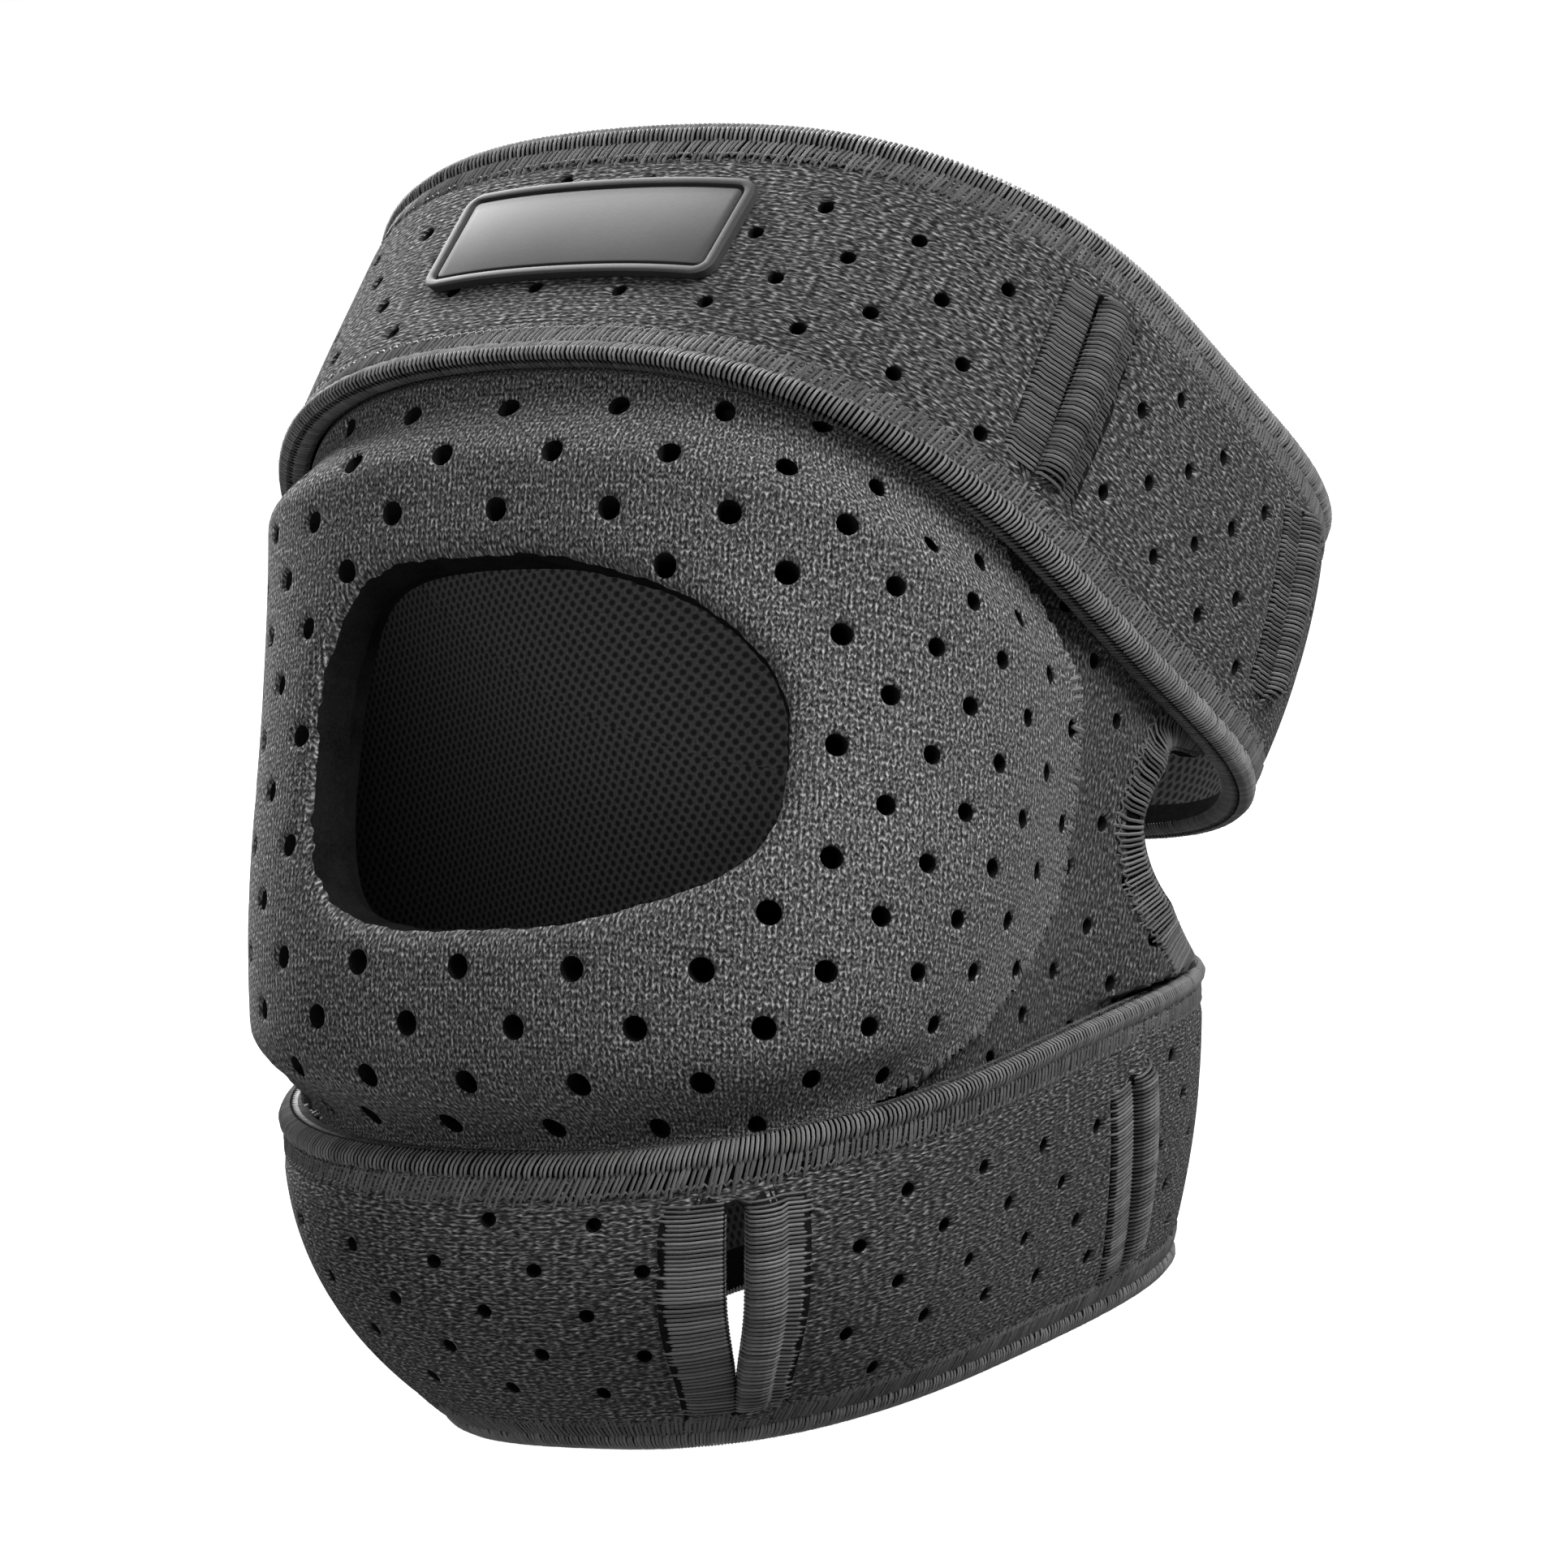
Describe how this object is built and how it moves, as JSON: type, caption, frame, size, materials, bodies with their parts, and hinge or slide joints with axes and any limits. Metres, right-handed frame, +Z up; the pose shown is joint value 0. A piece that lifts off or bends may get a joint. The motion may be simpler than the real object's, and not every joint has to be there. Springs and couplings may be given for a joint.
{
  "type": "open-kneecap knee brace",
  "caption": "Padded, perforated kneecap ring on a winged panel, held round the knee by a leaning upper strap and a lower strap with overlocked edges and slits.",
  "frame": {"origin": "middle of the part's box, on the surface that the bottom edge of the lower strap stands on", "axes": "+Z up the leg, -Y to the front of the knee, +X to the right of someone looking at the front"},
  "size_m": [0.1132, 0.1516, 0.1541],
  "materials": {
    "pad_knit": "grey heather knit over foam",
    "panel_knit": "dark grey knit outside, black mesh inside",
    "strap_knit": "dark grey heather knit, black mesh inside",
    "edging_thread": "overlocked grey thread",
    "badge_rubber": "satin moulded rubber",
    "closure_tape": "black hook-and-loop tape"
  },
  "bodies": {
    "root": {"patella_pad": "pad_knit", "base_panel": "panel_knit", "notch_edging": "edging_thread", "lower_strap": "strap_knit", "upper_strap": "strap_knit", "lower_strap_bottom_edging": "edging_thread", "lower_strap_top_edging": "edging_thread", "upper_strap_bottom_edging": "edging_thread", "upper_strap_top_edging": "edging_thread", "lower_slot_edging_front": "edging_thread", "lower_slot_edging_side": "edging_thread", "upper_slot_edging_front": "edging_thread", "upper_slot_edging_side": "edging_thread", "badge": "badge_rubber", "lower_closure_tab": "closure_tape", "upper_closure_tab": "closure_tape"}
  },
  "joints": []
}
